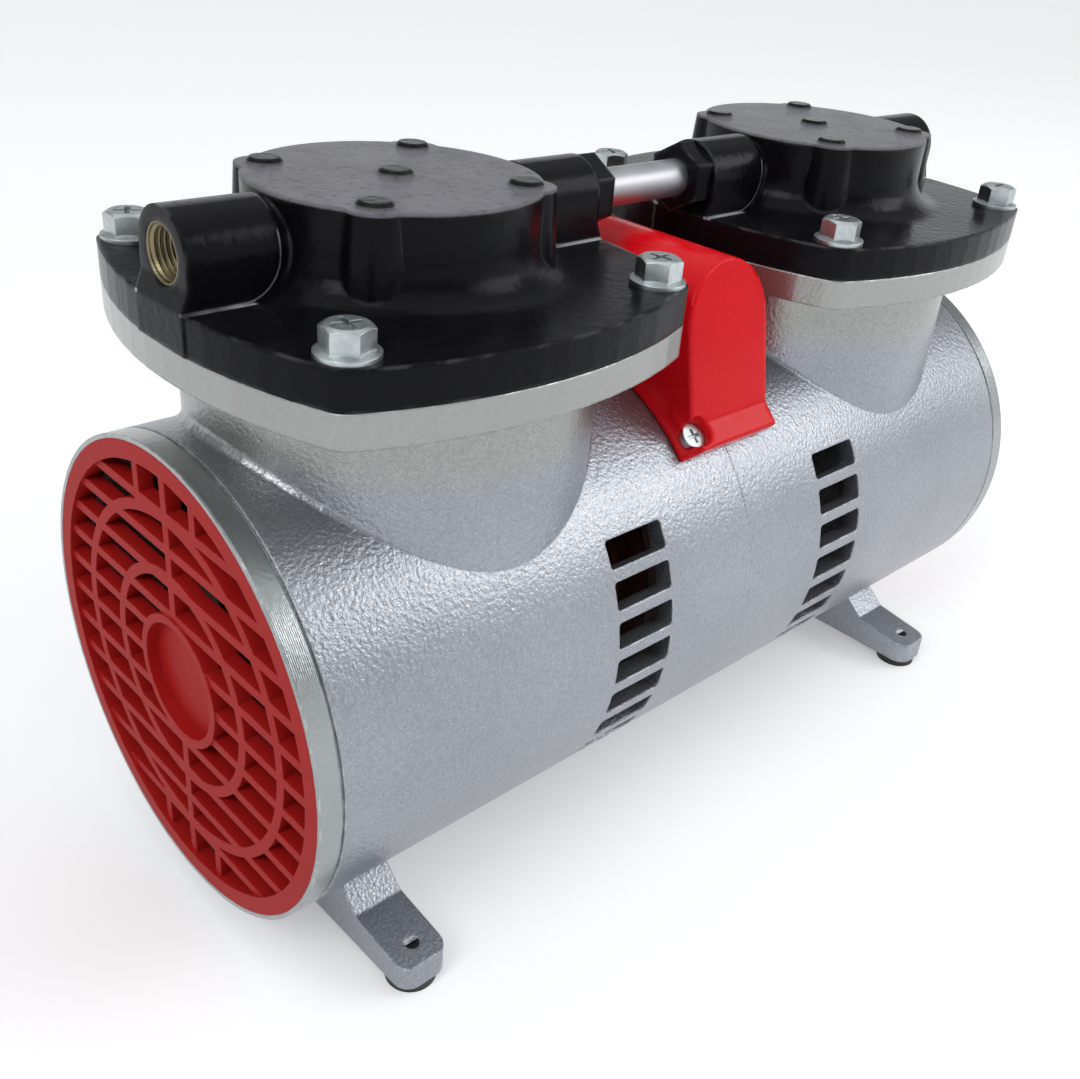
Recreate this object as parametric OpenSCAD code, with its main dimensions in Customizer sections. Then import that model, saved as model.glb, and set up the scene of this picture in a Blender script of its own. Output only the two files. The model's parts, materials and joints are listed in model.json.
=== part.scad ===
// Twin head diaphragm vacuum pump: an electric motor in a round two-piece
// casting, with one diaphragm head on each end and a cover between the heads.
// X runs along the motor shaft, Z is up, and the origin is under the middle of
// the body, on the surface that the rubber feet stand on. Sizes are millimetres.

/* [Body] */
// Outside diameter of the motor body
body_d = 132; // [126:1:140]
// Length of the body over both end rings
body_l = 310; // [306:1:326]
// Thickness of the round casting wall
wall_t = 6; // [5:0.5:7]
// Width of the machined ring at each end
ring_w = 6; // [3:0.1:6.5]
// Width and depth of the groove behind the end ring
groove = 0.8; // [0.4:0.1:1.2]
// Distance from the middle of a head back to the inner face of the bearing wall
wall_back = 27; // [25:0.5:27.5]
// Thickness of the bearing wall
bulkhead_t = 6; // [5:0.5:7]

/* [Vents] */
// Number of vent slots in each column
vent_n = 8; // [4:1:8]
// Length of a vent slot along the body
vent_l = 22; // [16:0.5:23]
// Height of a vent slot
vent_h = 8.2; // [5:0.2:8.4]
// Distance from a column of slots to the bearing wall
vent_gap = 2; // [1:0.2:3]
// Radius of the corners of a slot
vent_round = 1.2; // [0.6:0.1:2]
// Angle of the highest slot above the side of the body, in degrees
vent_top = 29.3; // [26:0.1:30]
// Angle from one slot to the next, in degrees
vent_step = 10.2; // [9.5:0.1:10.6]

/* [Necks and flanges] */
// Outside diameter of the round neck that carries a head
neck_d = 108; // [100:1:110]
// Wall of the neck
neck_t = 7.5; // [6:0.5:9]
// Height of the head joint above the top of the body
neck_rise = 25.5; // [20:0.5:30]
// How far the middle of a flange side stays inside the side of the body
flange_inset = 2; // [1:0.25:3]
// Distance from the middle of a flange side to the row of head bolts
bolt_inset = 17; // [16:0.25:18]
// Radius of a flange corner
flange_corner = 8; // [7.5:0.25:8.5]
// Thickness of the body flange
body_flange_t = 8.5; // [7:0.5:10]
// Radius of the fillet under the body flange
flange_fillet = 4; // [2:0.5:6]
// Radius of the fillet where a neck grows out of the body
neck_fillet = 3.5; // [3:0.5:10]

/* [Heads] */
// Thickness of the head flange
head_flange_t = 9.5; // [8:0.5:11]
// Diameter of the dome of a head
dome_d = 74; // [73:0.5:76]
// Height of the dome plate above the head joint
dome_h = 31; // [29:0.25:33]
// Radius of the sweep from the dome to the flange
dome_sweep = 9.5; // [8:0.5:10]
// Half distance between the round lobes on the dome
lobe_half = 22.5; // [20.5:0.5:23]
// Radius of a lobe
lobe_r = 7.5; // [6.5:0.5:8.5]
// Radius of a raised spot on the dome top
spot_r = 4.4; // [3.5:0.1:5]
// Height of a raised spot
spot_h = 1.4; // [0.8:0.1:2]
// Half width of the arched port block
port_block_r = 10.5; // [10.25:0.25:13]
// How far the face of a port block leans back from the flange side at the port axis
port_lean = 2; // [0:0.25:3]
// Height of the port axis above the head joint
port_h = 20; // [19:0.25:20.5]
// Thread radius of the port, to the crests
port_r = 5.72; // [5:0.01:6.5]
// Depth of the port thread
port_depth = 14; // [10:1:16]

/* [Transfer tube] */
// Outside diameter of the tube between the heads
tube_d = 11; // [8:0.5:11]
// Wall of the tube
tube_t = 1; // [0.8:0.1:1.5]
// Distance across the flats of a tube nut
tube_nut_af = 18; // [17:0.5:18]
// Length of the hexagon of a tube nut
tube_nut_l = 7; // [5:0.5:8]

/* [Feet] */
// Distance from the middle of the body to a foot along the body
foot_x = 123.5; // [121:0.5:126]
// Width of a foot
foot_w = 15.5; // [13:0.5:18]
// Distance from the body axis plane to a foot hole
foot_hole_y = 61; // [60:0.5:66]
// Distance from a foot hole to the end of the toe
toe_l = 7.5; // [7:0.5:9]
// Thickness of a toe at its end
toe_t = 7.5; // [6:0.5:9]
// Gap between the underside of the body and the underside of a foot
foot_drop = 7.5; // [6:0.5:10]
// Radius of a foot hole
foot_hole_r = 2.15; // [1.5:0.05:3]
// Thickness of a rubber foot
rubber_t = 3; // [2:0.5:6]
// Radius of a rubber foot
rubber_r = 7.2; // [6:0.1:7.5]

/* [Grilles] */
// Thickness of a grille
grille_t = 5; // [4:0.5:6]
// Width of the solid rim of a grille
grille_rim = 5; // [4:0.5:7]
// Distance from one cross bar to the next
bar_pitch = 9.75; // [9:0.05:10.5]
// Width of a cross bar
bar_w = 2.7; // [2:0.1:3.5]
// Radius of the outer ring in the lattice
ring_a = 47.8; // [46:0.1:50]
// Radius of the inner ring in the lattice
ring_b = 30.8; // [28:0.1:33]
// Radius of the solid middle disc
grille_hub = 18.7; // [16:0.1:22]

/* [Terminal cover] */
// Half width of the cover
cover_half = 17.5; // [17:0.5:18.5]
// Height of the top of the cover above the top of the body
cover_rise = 33.5; // [32:0.5:34]
// Half length of the cover at its top
cover_end = 38.5; // [38:0.5:42]
// Wall of the cover
cover_t = 2.5; // [2:0.25:3]
// Half width of the foot of the cover
cover_foot_half = 20.5; // [20:0.5:22]
// Angle at which the cover ends above the side of the body, in degrees
cover_low = 43.5; // [42:0.5:45]
// Height of the screw ledge of the cover
cover_ledge = 5.5; // [5:0.5:7]

/* [Motor] */
// Radius of the shaft in the bearings
shaft_r = 7.5; // [7.5:0.5:7.5]
// Radius of the shaft ends
shaft_end_r = 6; // [5.5:0.25:6.5]
// Half length of the laminated cores
core_half = 28; // [24:1:29]
// Radius of the hole in the stator
stator_bore = 34; // [33:0.5:35]
// Air gap between rotor and stator
air_gap = 0.5; // [0.4:0.1:0.8]
// Number of stator slots
stator_slots = 24; // [12:6:24]
// Distance from the bore of the castings to the axis of a tie bolt
tie_inset = 5; // [4.5:0.25:5.5]

/* [Diaphragm drive] */
// Throw of an eccentric, which is half the stroke
throw_r = 3; // [2:0.25:3]
// Thickness of the diaphragm
diaphragm_t = 2.2; // [1.6:0.2:2.6]
// Radius of the diaphragm
diaphragm_r = 52; // [50:0.5:54]
// Radius of the clamp discs on the diaphragm
clamp_r = 27; // [24:0.5:28]
// Thickness of the upper clamp disc
clamp_t = 3; // [2.5:0.25:3.5]
// Radius of the pumping chamber
chamber_r = 38; // [36:0.5:39]
// Gap left above the clamp disc at the top of its stroke
top_gap = 0.4; // [0.4:0.1:0.8]
// Thickness of a valve plate
plate_t = 6; // [5.5:0.25:6]
// Radius of a valve plate
plate_r = 32.5; // [32:0.25:33]
// Lift of a valve disc
valve_lift = 0.8; // [0.5:0.1:1]
// Radius of a valve disc
valve_r = 7; // [6:0.25:7.5]

/* [Hidden] */
$fn = 64;

cut = 1;                                        // how far a cutting shape runs past a face
loose = 0.2;                                    // clearance of a loose fit
fit = 0.05;                                     // clearance of a close fit
body_r = body_d / 2;
bore_r = body_r - wall_t;
half_l = body_l / 2;
axis_h = body_r + foot_drop + rubber_t;         // shaft axis above the ground
joint_h = body_r + neck_rise;                   // head joint above the shaft axis
neck_r = neck_d / 2;
flange_half = body_r - flange_inset;            // half width of a flange at the middle of a side
bolt_half = flange_half - bolt_inset;           // half distance between head bolts
cover_gap = 5.5;                                // between a flange and the terminal cover
head_x = flange_half + cover_gap + cover_half;  // middle of a head, from the middle of the body
port_block_l = flange_half - port_lean;         // port face at the port axis, from the middle of a head
tie_bolt_circle = bore_r - tie_inset;
neck_top = joint_h - body_flange_t;
lip_t = 1.2;                                    // lip of the casting round a grille
bulkhead_x = head_x - wall_back;                // inner face of a bearing wall
vent_x = bulkhead_x - vent_gap - vent_l / 2;    // middle of a column of slots
grille_r = body_r - lip_t;
grille_x = half_l - grille_t;
grille_step = 1;                                // how far the lattice lies below the rim
grille_dish = 3.4;                              // depth of the dish in the middle disc
dish_rim = 2.4;                                 // rim of that disc
ring_half = 1.5;                                // half width of a ring in the lattice

// Flange outline: four bulged sides that run into round corners about the bolts
corner_r = flange_corner;
side_l = flange_half - corner_r;
side_c = (2 * pow(bolt_half, 2) - pow(side_l, 2)) / 2 / (side_l - bolt_half);
flange_bulge = side_c + flange_half;            // radius of a side
side_a = atan2(bolt_half, bolt_half + side_c);
flange_points = [
    for (k = [0:3], p = concat(
        [for (i = [-6:6]) let (a = i * side_a / 6) [flange_bulge * cos(a) - side_c, flange_bulge * sin(a)]],
        [for (i = [1:9]) let (a = side_a + i * (90 - 2 * side_a) / 10)
            [bolt_half + corner_r * cos(a), bolt_half + corner_r * sin(a)]]))
        [p[0] * cos(90 * k) - p[1] * sin(90 * k), p[0] * sin(90 * k) + p[1] * cos(90 * k)]
];

// Stack of the pumping chamber, in heights above the head joint
plate_z = throw_r + clamp_t + top_gap;          // underside of the valve plate
plate_top = plate_z + plate_t;
gasket_t = 0.5;
cavity_r = plate_r - 8.5;                         // radius of the gas space in the dome
dome_wall = 4;                                  // top of the dome and the wall between its two spaces
cavity_top = dome_h - dome_wall;
valve_x = 13;                                   // distance from the middle of the plate to a valve
valve_t = 1;                                    // thickness of a valve disc
guide_r = 1.5;                                  // radius of a valve guide
guide_head_r = 3.4;
gas_hole_r = 1.3;                               // gas holes under a valve disc
gas_hole_at = 4.2;
guide_head_t = 1.4;
pocket_r = valve_r + 0.6;
pocket_d = valve_t + valve_lift + guide_head_t + loose;   // depth of the intake pocket
plate_screw = 19.5;                               // half distance between valve plate screws
plate_screw_r = 1.6;
plate_screw_head_r = 3.2;
plate_screw_head_t = 2;
plate_screw_in = 7;
bolt_r = 3;                                     // head bolts, M6
bolt_hole_r = bolt_r + 0.3;
bolt_l = 15;
washer_r = 7.2;
washer_t = 1.2;
bolt_flange_h = 1.9;
bolt_head_af = 10.4;
bolt_head_h = 7;
bush_t = 1.2;                                   // wall of a port bush
lobe_draft = 1.5;                               // how much wider a lobe is at its foot
port_pad_x = dome_d / 2 + 2;                    // inner end of the thicker part of a port block
port_pad_t = 1.25;                              // how far that part stands proud
port_pad_round = 10;
tube_r = tube_d / 2;
tube_in = 10;                                   // length of tube inside a head
nut_spigot = 5;
nut_spigot_r = tube_r + 1.5;
ferrule_l = 2;
passage_r = 4;

// Rod and crank
rod_w = 12;                                     // width of rod and rod bearing
rod_bore_r = 23.5;
rod_ring_r = 28;
rod_seat_r = 12.5;                              // radius of the eccentric in the bearing
rod_plate_t = 4;
rod_stem = 10;                                  // half width of the stem
rod_web = 3;                                    // thickness of the web beside the stem
rod_waist = 16;                                 // radius of the round cut in the side of the web
rod_top = joint_h - diaphragm_t;                // top of the rod above the eccentric axis
rod_pitch_r = 18;
rod_ball_r = 3.4;
rod_ball_n = 10;
bearing_r = 17.5;                               // main bearing
bearing_w = 11;
bearing_x = bulkhead_x + 2;
bearing_pitch_r = 12.5;
bearing_ball_r = 3;
bearing_ball_n = 8;
ball_gap = 0.05;
race_half = 1.9;                                // half gap between an inner and an outer race
boss_r = 24;
air_hole_r = 8;                                 // cooling holes in a bearing wall
air_hole_circle = 39;
air_holes = 6;
ecc_x = head_x - rod_w / 2;                     // inner face of the rod bearing
weight_t = 7;
shaft_step_x = ecc_x - weight_t;
weight_r = 30;
collar_t = 2;
collar_rise = 1.6;
clamp_screw_r = 3;
clamp_screw_l = 14;
clamp_head_t = 2.3;
clamp_seat = clamp_t - clamp_head_t - loose;    // small end of the countersink, above the diaphragm
hub_r = 11;
set_x = ecc_x - (weight_t + collar_t) / 2;      // set screw of an eccentric
set_r = 2;
set_l = 4.5;
fan_x = half_l - 35;
fan_l = 20;
fan_r = bore_r - 6;
fan_hub_r = 12;
fan_blades = 9;
blade_turn = 40;
shaft_end_x = fan_x + fan_l - 2;
core_seat_r = shaft_r + 1.5;                    // radius of the shaft in the rotor core
foot_bottom = -body_r - foot_drop;
cover_crest = body_r + cover_rise;
cover_arch_z = cover_crest - cover_half;        // centre of the arch of the cover
cover_screw_x = 15;
cover_screw_a = cover_low + 4.5;
cover_screw_r = 1.75;
cover_screw_head_r = 3.9;
cover_screw_head_t = 2.4;
capacitor_r = cover_half - cover_t - 3.5;
capacitor_half = cover_end - cover_t - 6;
tab_x = 5;                                      // terminals of the capacitor
tab_l = 6;
tab_w = 6;
tab_t = 0.8;
cradle_t = 8;                                   // thickness of an end of the cradle
cradle_y = 10;                                  // inner face of an end of the cradle
cradle_low = 6;                                 // top of an end below the middle of the capacitor
cradle_web_low = 9;                             // top of the webs between the ends, likewise
gland_r = 6;
gland_bore_r = 3.5;
gland_af = 14;
gland_nut_t = 3.5;
gland_l = 10.5;                                 // how far the gland stands out of the cover
gland_z = cover_arch_z + 4;
grommet_r = 5;
tie_r = 2.5;
tie_nut_af = 8;
tie_nut_t = 4;

silver = [0.72, 0.73, 0.74];
black = [0.06, 0.06, 0.07];
red = [0.80, 0.08, 0.10];
zinc = [0.75, 0.77, 0.78];
steel = [0.55, 0.56, 0.58];
brass = [0.72, 0.62, 0.36];
rubber = [0.08, 0.08, 0.08];

// Places children on the shaft axis
module on_axis() { translate([0, 0, axis_h]) children(); }
// Places children at the head joint of one end; side is -1 at the front and 1 at the rear
module at_head(side) { on_axis() translate([side * head_x, 0, joint_h]) children(); }
// Cylinder along X from x0 to x1
module rod_x(r, x0, x1) { translate([x0, 0, 0]) rotate([0, 90, 0]) cylinder(r = r, h = x1 - x0); }
// Ring along X from x0 to x1
module ring_x(r1, r2, x0, x1) {
    difference() {
        rod_x(r2, x0, x1);
        rod_x(r1, x0 - cut, x1 + cut);
    }
}
// Box from corner a to corner b
module block(a, b) { translate(a) cube(b - a); }
// Profile in the plane of x and radius, turned about the shaft axis
module turn_x(points) { rotate([0, 90, 0]) rotate_extrude() polygon([for (p = points) [p[1], p[0]]]); }
// Copies at the four corners of a square
module corners(h) { for (x = [-1, 1], y = [-1, 1]) translate([x * h, y * h, 0]) children(); }
// Hexagon prism across the flats af
module hex(af, h) { cylinder(r = af / sqrt(3), h = h, $fn = 6); }

// Body castings

// Fillet between the upright neck and the round body: a ball of radius neck_fillet rolls round the
// corner, and each section runs from its touch on the neck to its touch on the body
fillet_n = 48;
fillet_m = 5;
sink = 0.25;
function fillet_ring(a) =
    let (q = neck_fillet, cx = (neck_r + q) * cos(a), cy = (neck_r + q) * sin(a),
         cz = sqrt(pow(body_r + q, 2) - cy * cy),
         n1 = [-cos(a), -sin(a), 0], n2 = -[0, cy, cz] / (body_r + q), turn = acos(n1 * n2))
    concat(
        [for (i = [0:fillet_m]) let (t = i / fillet_m)
            [cx, cy, cz] + (sin((1 - t) * turn) * n1 + sin(t * turn) * n2) / sin(turn) * (q + sink)],
        [[cx, cy, cz] + (n1 + n2) * (q + 2.5) / (1 + n1 * n2)]);
module neck_foot() {
    rings = [for (k = [0:fillet_n - 1]) fillet_ring(360 * k / fillet_n)];
    m = fillet_m + 2;
    polyhedron(
        points = [for (r = rings, p = r) p],
        faces = [for (k = [0:fillet_n - 1], i = [0:m - 1])
            let (a = k * m, b = ((k + 1) % fillet_n) * m, j = (i + 1) % m)
            each [[a + i, a + j, b + j], [a + i, b + j, b + i]]]);
}

// Foot that grows out of the casting towards +Y, from under the body out to the toe
foot_corner = 5;
module foot_lug() {
    toe_y = foot_hole_y + toe_l;
    intersection() {
        translate([foot_x - foot_w / 2, 0, 0]) rotate([90, 0, 90]) linear_extrude(foot_w)
            polygon([
                [body_r * 0.3, -body_r + 4], [body_r * 0.3, foot_bottom], [toe_y, foot_bottom],
                [toe_y - 0.7, foot_bottom + toe_t],
                [foot_hole_y - 15, foot_bottom + toe_t + 3.2],
                [body_r * 0.59, -body_r + 9], [body_r * 0.515, -body_r + 14]]);
        linear_extrude(4 * body_r, center = true)
            polygon(concat(
                [[foot_x + foot_w / 2, 0]],
                [for (i = [0:6]) [foot_x + foot_w / 2 - foot_corner * (1 - cos(15 * i)),
                    toe_y - foot_corner * (1 - sin(15 * i))]],
                [for (i = [6:-1:0]) [foot_x - foot_w / 2 + foot_corner * (1 - cos(15 * i)),
                    toe_y - foot_corner * (1 - sin(15 * i))]],
                [[foot_x - foot_w / 2, 0]]));
    }
}
module feet() { for (s = [0, 1]) mirror([0, s, 0]) children(); }

// Places children with their Z axis along a radius of the body, at angle a above the side
module radial(side, x, a) { rotate([-side * (90 - a), 0, 0]) translate([x, 0, 0]) children(); }

// One end casting, drawn for the end towards +X
module housing() {
    difference() {
        union() {
            rod_x(body_r, 0, half_l);
            translate([head_x, 0, 0]) {
                cylinder(r = neck_r, h = joint_h - cut);
                translate([0, 0, neck_top]) linear_extrude(body_flange_t) polygon(flange_points);
                rotate_extrude() polygon(concat(
                    [[neck_r - cut, neck_top + cut], [neck_r - cut, neck_top - flange_fillet]],
                    [for (i = [0:6]) [neck_r + flange_fillet * (1 - cos(15 * i)),
                        neck_top - flange_fillet * (1 - sin(15 * i))]],
                    [[neck_r + flange_fillet, neck_top + cut]]));
                neck_foot();
            }
            feet() foot_lug();
        }
        difference() {
            union() {
                rod_x(bore_r, -cut, grille_x + cut / 2);
                translate([head_x, 0, 0]) cylinder(r = neck_r - neck_t, h = neck_top);
            }
            bearing_wall();
        }
        rod_x(grille_r, grille_x, half_l + cut);
        ring_x(body_r - groove, body_r + cut, half_l - ring_w - groove, half_l - ring_w);
        translate([head_x, 0, 0]) {
            translate([0, 0, neck_top - cut]) cylinder(r = chamber_r + 3, h = body_flange_t + 2 * cut);
            translate([0, 0, joint_h - diaphragm_t]) cylinder(r = diaphragm_r + loose, h = diaphragm_t + cut);
            corners(bolt_half) translate([0, 0, neck_top - cut])
                cylinder(r = bolt_r + fit, h = body_flange_t + 2 * cut);
        }
        for (s = [-1, 1], i = [0:vent_n - 1]) radial(s, vent_x, vent_top - vent_step * i)
            translate([0, 0, bore_r - 8]) linear_extrude(wall_t + 16) offset(r = vent_round)
                square([vent_l - 2 * vent_round, vent_h - 2 * vent_round], center = true);
        feet() translate([foot_x, foot_hole_y, foot_bottom - cut]) cylinder(r = foot_hole_r, h = toe_t + 2 * cut);
        radial(1, 0, 90) translate([0, 0, bore_r - 2]) cylinder(r = grommet_r, h = wall_t + 4);
        radial(1, cover_screw_x, cover_screw_a) translate([0, 0, bore_r - 2])
            cylinder(r = cover_screw_r + fit, h = wall_t + 4);
    }
}
module bearing_wall() {
    difference() {
        union() {
            rod_x(bore_r + cut, bulkhead_x, bulkhead_x + bulkhead_t);
            rod_x(boss_r, bulkhead_x, bearing_x + bearing_w);
        }
        rod_x(bearing_r + fit, bearing_x, bearing_x + bearing_w + cut);
        rod_x(bearing_r - 4, bulkhead_x - cut, bearing_x + cut);
        for (i = [0:air_holes - 1]) rotate([(i + 0.5) * 360 / air_holes, 0, 0])
            translate([0, 0, air_hole_circle]) rod_x(air_hole_r, bulkhead_x - cut, bulkhead_x + bulkhead_t + cut);
        tie_places() rod_x(tie_r + loose, bulkhead_x - cut, bulkhead_x + bulkhead_t + cut);
    }
}
module tie_places() {
    for (i = [0:3]) rotate([90 * i + 45, 0, 0]) translate([0, 0, tie_bolt_circle]) children();
}
module rear_housing() { color(silver) on_axis() housing(); }
module front_housing() { color(silver) on_axis() rotate([0, 0, 180]) housing(); }

// Grille with a rim, two rings, a middle disc and upright and level bars
module grille() {
    x1 = half_l - grille_step;
    rim = grille_r - grille_rim;
    side_bar = bar_pitch * 1.4;                 // an upright bar beside the middle one
    ring_x(rim, grille_r - fit, grille_x, half_l);
    translate([grille_x, 0, 0]) rotate([90, 0, 90]) linear_extrude(x1 - grille_x) {
        for (r = [ring_a, ring_b]) difference() {
            circle(r = r + ring_half);
            circle(r = r - ring_half);
        }
        difference() {
            intersection() {
                circle(r = rim + fit);
                union() {
                    for (k = [-5:5]) translate([-body_r, bar_pitch * k - bar_w / 2])
                        square([2 * body_r, bar_w]);
                    translate([-bar_w / 2, -body_r]) square([bar_w, 2 * body_r]);
                    for (s = [-1, 1]) translate([s * side_bar - bar_w / 2, -body_r])
                        square([bar_w, 2 * body_r]);
                }
            }
            circle(r = grille_hub - dish_rim);
            // the bars at the sides of the middle one stop at the outer ring
            for (s = [-1, 1], t = [-1, 1], k = [-5:4])
                translate([s * side_bar - bar_w / 2 - cut / 4, bar_pitch * k + bar_w / 2])
                    intersection() {
                        square([bar_w + cut / 2, bar_pitch - bar_w]);
                        translate([-s * side_bar + bar_w / 2 + cut / 4, -bar_pitch * k - bar_w / 2])
                            circle(r = ring_a - ring_half);
                    }
        }
    }
    difference() {
        rod_x(grille_hub, grille_x, half_l - grille_step / 2);
        rod_x(grille_hub - dish_rim, half_l - grille_step / 2 - grille_dish, half_l + cut);
    }
}
module front_grille() { color(red) on_axis() rotate([0, 0, 180]) grille(); }
module rear_grille() { color(red) on_axis() grille(); }

// Heads

// Solid outside of a head, on the head joint
module head_outside() {
    linear_extrude(head_flange_t) polygon(flange_points);
    rotate_extrude() polygon(concat(
        [[0, head_flange_t - cut], [0, dome_h], [dome_d / 2 - 0.6, dome_h], [dome_d / 2, dome_h - 0.6]],
        [for (i = [0:8]) [dome_d / 2 + dome_sweep * (1 - cos(90 * i / 8)),
            head_flange_t + dome_sweep * (1 - sin(90 * i / 8))]],
        [[dome_d / 2 + dome_sweep, head_flange_t - cut]]));
    corners(lobe_half) {
        translate([0, 0, head_flange_t - cut])
            cylinder(r1 = lobe_r + lobe_draft, r2 = lobe_r, h = dome_h - head_flange_t + cut);
        spot();
    }
    spot();
    for (s = [0, 180]) rotate([0, 0, s]) {
        port_block(dome_d / 2 - 10, port_block_r - port_pad_t, 0);
        port_block(port_pad_x, port_block_r, port_pad_round);
    }
}
module spot() {
    translate([0, 0, dome_h - cut]) rotate_extrude()
        polygon([[0, 0], [spot_r, 0], [spot_r, cut + spot_h / 2], [spot_r - spot_h / 2, cut + spot_h],
            [0, cut + spot_h]]);
}
// Arched block from x0 out to the port face, with its lower inner edge rounded to radius q
module port_block(x0, r, q) {
    top = port_h + r;
    intersection() {
        union() {
            translate([0, 0, port_h]) rod_x(r, x0, flange_half);
            block([x0, -r, 0], [flange_half, r, port_h]);
        }
        rotate([90, 0, 0]) linear_extrude(4 * r, center = true) polygon(concat(
            [[flange_half, 0], [flange_half, head_flange_t], [port_block_l, port_h - port_r],
                [port_block_l, top + cut], [x0, top + cut]],
            q > 0
                ? [for (i = [0:6]) [x0 + q * (1 - cos(15 * i)), head_flange_t + q * (1 - sin(15 * i))]]
                : [[x0, 0]],
            q > 0 ? [[x0 + q, 0]] : []));
    }
}
// Head drawn with its outer port towards +X
module head() {
    difference() {
        head_outside();
        translate([0, 0, -cut]) cylinder(r = chamber_r, h = plate_z + cut);
        translate([0, 0, plate_z - cut]) cylinder(r = plate_r + loose, h = plate_t + gasket_t + cut);
        difference() {
            translate([0, 0, plate_top + gasket_t - cut])
                cylinder(r = cavity_r, h = cavity_top - plate_top - gasket_t + cut);
            block([-dome_wall / 2, -2 * cavity_r, 0], [dome_wall / 2, 2 * cavity_r, dome_h]);
        }
        corners(plate_screw) translate([0, 0, plate_top])
            cylinder(r = plate_screw_r + fit, h = plate_screw_in + gasket_t + 1);
        corners(bolt_half) translate([0, 0, -cut]) cylinder(r = bolt_hole_r, h = head_flange_t + 2 * cut);
        translate([0, 0, port_h]) {
            rod_x(port_r + bush_t + fit, port_block_l - port_depth, port_block_l + cut);
            rod_x(passage_r, cavity_r - 3, port_block_l);
            rod_x(passage_r, -port_block_l, -cavity_r + 3);
            rod_x(tube_r + fit, -port_block_l - cut, -port_block_l + tube_in);
            rod_x(nut_spigot_r + fit, -port_block_l - cut, -port_block_l + nut_spigot + ferrule_l);
            rod_x(tube_nut_af / sqrt(3) + fit, -flange_half - cut, -port_block_l);  // room for the nut
        }
    }
}
module front_head() { color(black) at_head(-1) rotate([0, 0, 180]) head(); }
module rear_head() { color(black) at_head(1) head(); }

// Hexagon bolt with a flange and a cross in its head, its seat at z = 0
module flange_bolt() {
    translate([0, 0, -bolt_l]) cylinder(r = bolt_r, h = bolt_l + cut);
    rotate_extrude() polygon([[0, 0], [washer_r, 0], [washer_r, washer_t], [bolt_head_af / 2, bolt_flange_h],
        [0, bolt_flange_h]]);
    difference() {
        intersection() {
            hex(bolt_head_af, bolt_head_h);
            rotate_extrude() polygon([[0, 0], [bolt_head_af, 0], [bolt_head_af, bolt_head_h - 3.5],
                [bolt_head_af / 2 - 0.6, bolt_head_h], [0, bolt_head_h]]);
        }
        for (a = [0, 90]) rotate([0, 0, a])
            block([-bolt_head_af / 3, -0.7, bolt_head_h - 1.2], [bolt_head_af / 3, 0.7, bolt_head_h + cut]);
    }
}
module head_bolts(side) {
    color(zinc) at_head(side) for (i = [0:3]) rotate([0, 0, 90 * i + 45])
        translate([bolt_half * sqrt(2), 0, head_flange_t]) rotate([0, 0, 17 * i]) flange_bolt();
}
module front_head_bolts() { head_bolts(-1); }
module rear_head_bolts() { head_bolts(1); }

// Threaded bush of the outer port
module port_bush(side) {
    color(brass) at_head(side) rotate([0, 0, side > 0 ? 0 : 180]) translate([0, 0, port_h])
        ring_x(port_r, port_r + bush_t, port_block_l - port_depth, port_block_l);
}
module front_port_bush() { port_bush(-1); }
module rear_port_bush() { port_bush(1); }

// Valve plate with a pocket below it for the intake disc (-X) and one above it for the exhaust disc
module valve_plate(side) {
    color(steel) at_head(side) difference() {
        translate([0, 0, plate_z]) cylinder(r = plate_r, h = plate_t);
        for (k = [-1, 1]) valve_place(k) {
            cylinder(r = pocket_r, h = pocket_d + cut);
            translate([0, 0, -plate_t]) cylinder(r = guide_r + fit, h = plate_t + cut);
            for (i = [0:5]) rotate([0, 0, 60 * i]) translate([gas_hole_at, 0, -plate_t])
                cylinder(r = gas_hole_r, h = plate_t + cut);
        }
        corners(plate_screw) translate([0, 0, plate_z - cut]) {
            cylinder(r = plate_screw_r + loose, h = plate_t + 2 * cut);
            cylinder(r = plate_screw_head_r + loose, h = plate_screw_head_t + cut);
        }
    }
}
// Valve seat at z = 0 with the disc above it; k is -1 for the intake and 1 for the exhaust
module valve_place(k) {
    translate([k * valve_x, 0, k > 0 ? plate_top - pocket_d : plate_z + pocket_d])
        rotate([k > 0 ? 0 : 180, 0, 0]) children();
}
module front_valve_plate() { valve_plate(-1); }
module rear_valve_plate() { valve_plate(1); }
module valve_gaskets() {
    color(rubber) for (s = [-1, 1]) at_head(s) translate([0, 0, plate_top]) difference() {
        cylinder(r = plate_r, h = gasket_t);
        difference() {
            translate([0, 0, -cut]) cylinder(r = cavity_r, h = gasket_t + 2 * cut);
            block([-dome_wall / 2, -2 * cavity_r, -2 * cut], [dome_wall / 2, 2 * cavity_r, gasket_t + 2 * cut]);
        }
        corners(plate_screw) translate([0, 0, -cut])
            cylinder(r = plate_screw_r + loose, h = gasket_t + 2 * cut);
    }
}
module valve_screws() {
    color(zinc) for (s = [-1, 1]) at_head(s) corners(plate_screw) translate([0, 0, plate_z]) {
        cylinder(r = plate_screw_head_r, h = plate_screw_head_t);
        cylinder(r = plate_screw_r, h = plate_t + gasket_t + plate_screw_in);
    }
}
module valve_guides() {
    color(steel) for (s = [-1, 1]) at_head(s) for (k = [-1, 1]) valve_place(k) {
        translate([0, 0, pocket_d - plate_t])
            cylinder(r = guide_r, h = plate_t - pocket_d + valve_t + valve_lift);
        translate([0, 0, valve_t + valve_lift]) cylinder(r = guide_head_r, h = guide_head_t);
    }
}
module valve_disc(side, k) {
    color(rubber) at_head(side) valve_place(k) difference() {
        cylinder(r = valve_r, h = valve_t);
        translate([0, 0, -cut]) cylinder(r = guide_r + loose / 2, h = valve_t + 2 * cut);
    }
}
module front_intake_disc() { valve_disc(-1, -1); }
module front_exhaust_disc() { valve_disc(-1, 1); }
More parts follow.
